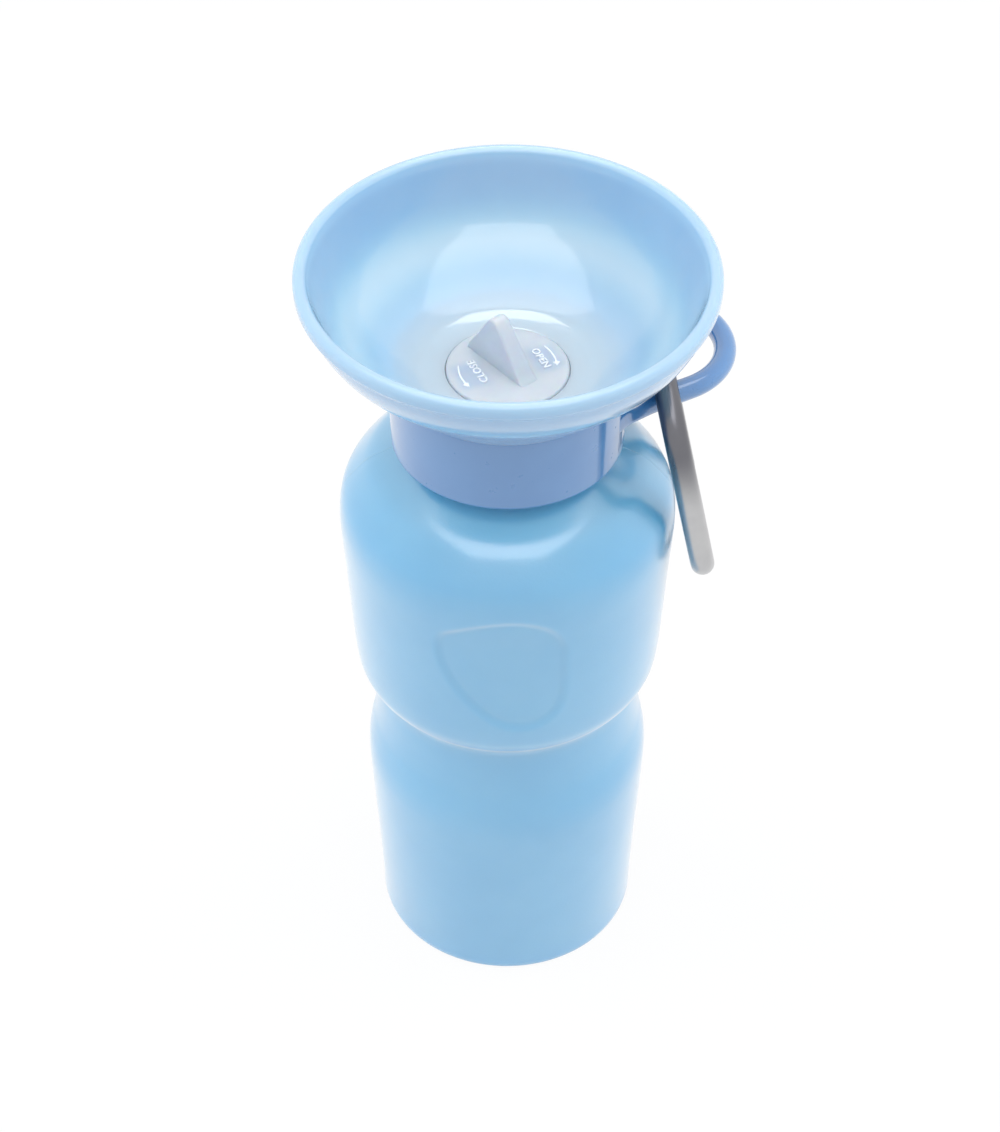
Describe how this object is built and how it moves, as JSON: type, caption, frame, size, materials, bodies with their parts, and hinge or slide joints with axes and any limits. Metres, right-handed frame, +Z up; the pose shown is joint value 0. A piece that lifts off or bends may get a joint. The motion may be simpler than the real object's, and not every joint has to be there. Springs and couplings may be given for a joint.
{
  "type": "travel dog water bottle",
  "caption": "Squeeze bottle with a waist and a thumb recess, a screw-on round drinking bowl with a finger-turned lift valve, a dip tube, and a strap loop that holds a small carabiner.",
  "frame": {"origin": "centre of the standing ring on the floor plane, on the bottle's axis", "axes": "+Z up along the bottle's axis; the thumb recess faces -Y; the strap and carabiner leave towards +X"},
  "size_m": [0.1145, 0.108, 0.2299],
  "materials": {
    "bottle": "satin blown polyethylene, translucent sky blue",
    "bowl": "glossy moulded polypropylene, pale blue",
    "strap": "glossy thermoplastic elastomer, periwinkle",
    "valve": "translucent milky polypropylene",
    "tube": "clear polyethylene",
    "seal": "translucent silicone",
    "o_ring": "black nitrile",
    "carabiner": "satin grey anodised aluminium",
    "steel": "plain stainless steel"
  },
  "bodies": {
    "bottle": {"bottle": "bottle"},
    "gasket": {"neck_gasket": "seal"},
    "cap": {"bowl": "bowl", "screw_cap": "bowl", "collar": "strap", "tube_adapter": "tube", "dip_tube": "tube"},
    "valve_seals": {"valve_seal": "seal", "stem_o_ring": "o_ring"},
    "valve": {"valve_knob": "valve", "valve_stem": "valve", "cam_pin": "steel"},
    "strap": {"strap_loop": "strap"},
    "carabiner": {"carabiner_frame": "carabiner"},
    "gate": {"carabiner_gate": "carabiner", "gate_pivot_pin": "steel", "gate_latch_pin": "steel", "gate_spring": "steel", "gate_plunger": "steel"}
  },
  "joints": [
    {"name": "cap_lift", "type": "slide", "parent": "bottle", "child": "gasket", "axis": [0, 0, 1], "range_m": [0, 0.0057]},
    {"name": "cap_turn", "type": "hinge", "parent": "gasket", "child": "cap", "pos_m": [0, 0, 0.187], "axis": [0, 0, 1], "range_deg": [0, 400]},
    {"name": "valve_lift", "type": "slide", "parent": "cap", "child": "valve_seals", "axis": [0, 0, 1], "range_m": [0, 0.0026]},
    {"name": "valve_turn", "type": "hinge", "parent": "valve_seals", "child": "valve", "pos_m": [0, 0, 0.1971], "axis": [0, 0, 1], "range_deg": [0, 90]},
    {"name": "strap_flex", "type": "hinge", "parent": "cap", "child": "strap", "pos_m": [0.03542, 0.01963, 0.187], "axis": [0.4848, -0.8746, 0], "range_deg": [0, 40], "stiffness_Nm_per_rad": 0.05},
    {"name": "carabiner_swing", "type": "hinge", "parent": "cap", "child": "carabiner", "pos_m": [0.04034, 0.00086, 0.1933], "axis": [0.0872, -0.9962, 0], "range_deg": [0, 35]},
    {"name": "gate_open", "type": "hinge", "parent": "carabiner", "child": "gate", "pos_m": [0.04263, 0.01562, 0.17525], "axis": [-0.9772, -0.0855, -0.1942], "range_deg": [0, 22], "stiffness_Nm_per_rad": 0.01, "springref_deg": -11.46}
  ],
  "couplings": [
    {"joint": "cap_lift", "follows": "cap_turn", "m_per_rad": 0.00079577},
    {"joint": "valve_lift", "follows": "valve_turn", "m_per_rad": 0.0015915}
  ]
}
